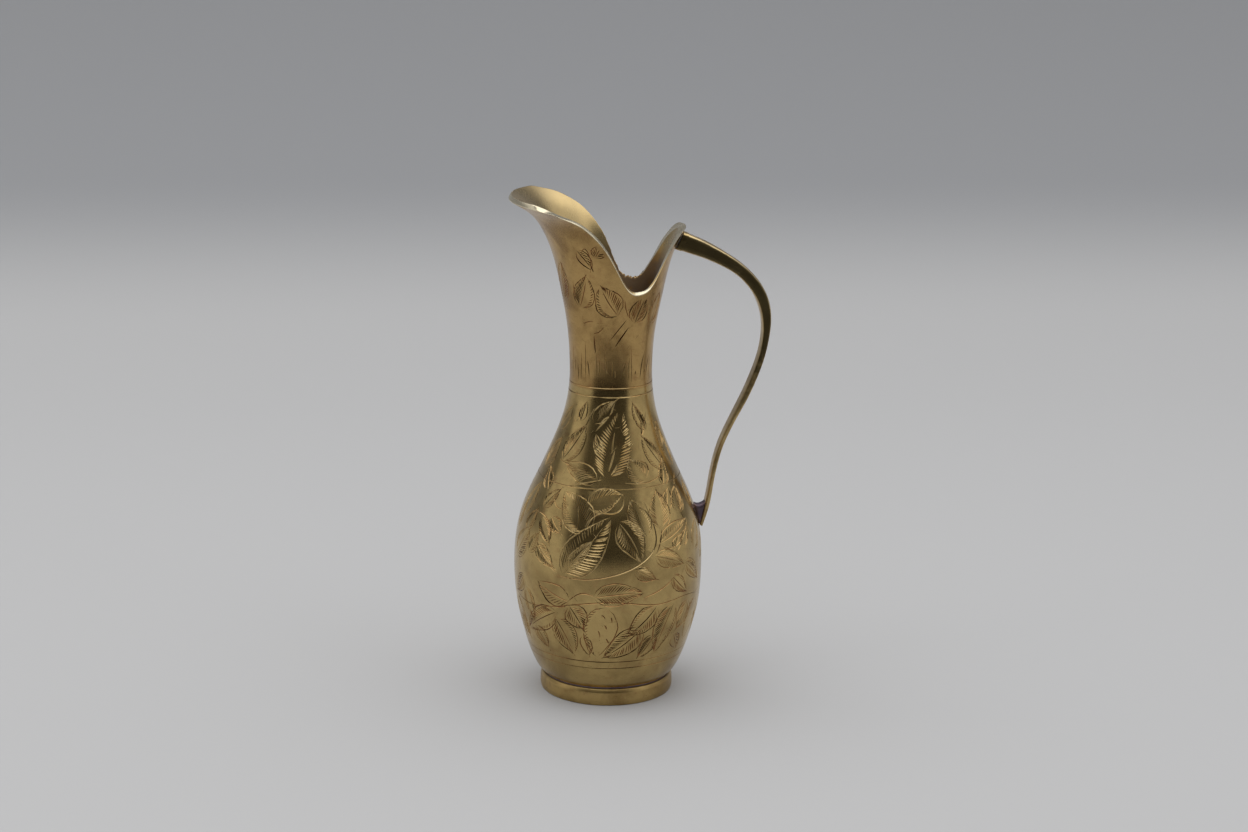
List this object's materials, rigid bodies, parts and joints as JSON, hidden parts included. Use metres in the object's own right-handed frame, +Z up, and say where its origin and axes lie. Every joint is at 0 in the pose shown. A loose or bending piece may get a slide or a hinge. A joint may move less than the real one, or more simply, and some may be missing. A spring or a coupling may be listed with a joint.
{
  "type": "brass ewer",
  "caption": "Small brass ewer with a round belly, slim neck, slanting trumpet mouth with a pouring lip and a bent strap handle.",
  "frame": {"origin": "on the belly's axis, on the surface the ewer stands on", "axes": "+Z up along the belly's axis; +X towards the handle, so -X towards the pouring lip; +Y across"},
  "size_m": [0.0674, 0.049, 0.13],
  "materials": {
    "brass": "spun and hand-engraved brass, satin with age, darker in the engraved lines",
    "braze": "dull brown braze, rough and unpolished"
  },
  "bodies": {
    "root": {"belly": "brass", "neck": "brass", "foot_ring": "brass", "base_plate": "brass", "foot_braze": "braze", "neck_braze": "braze", "handle": "brass", "handle_foot_braze": "braze", "handle_top_braze": "braze"}
  },
  "joints": []
}
